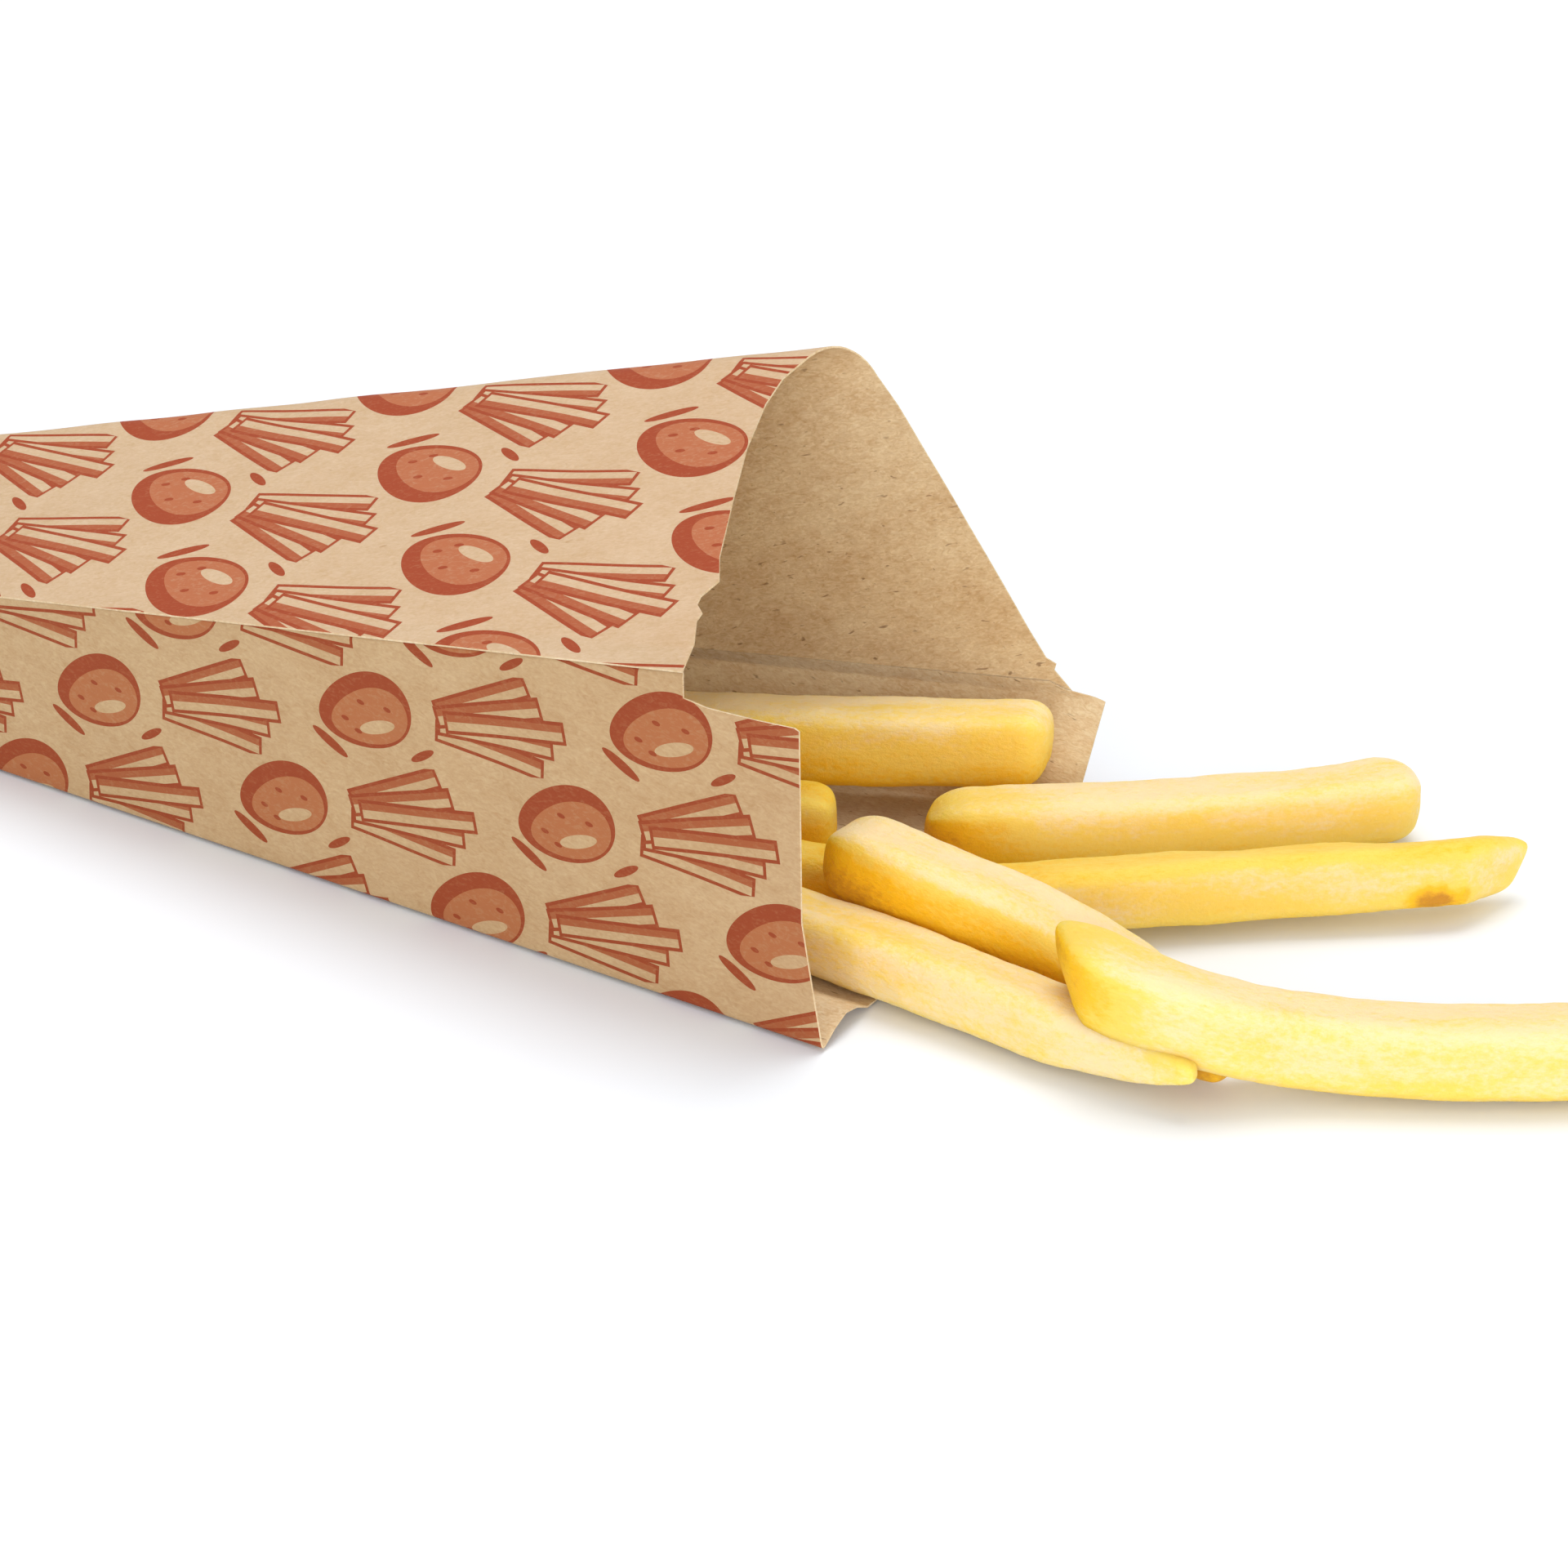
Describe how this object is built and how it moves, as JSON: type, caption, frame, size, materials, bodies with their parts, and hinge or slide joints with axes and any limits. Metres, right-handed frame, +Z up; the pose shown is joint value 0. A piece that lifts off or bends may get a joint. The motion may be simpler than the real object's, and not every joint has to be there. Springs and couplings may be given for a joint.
{
  "type": "french fries in a paper cone",
  "caption": "Pointed kraft paper cone lying on its side, with thick-cut french fries spilling out of its open mouth.",
  "frame": {"origin": "on the flat floor panel of the cone, midway between its two long folds and 80 mm behind the mouth, on the surface that it lies on", "axes": "+X along the cone from its point to its mouth, +Y to the far side with the low flap, +Z up"},
  "size_m": [0.3115, 0.0781, 0.0513],
  "materials": {
    "kraft_paper": "brown kraft paper, matt, with a two-tone red print outside and bare fibres inside",
    "fried_potato": "fried potato, pale yellow on top and golden at the sides, lightly oiled"
  },
  "bodies": {
    "root": {"paper_cone": "kraft_paper", "fries": "fried_potato"}
  },
  "joints": []
}
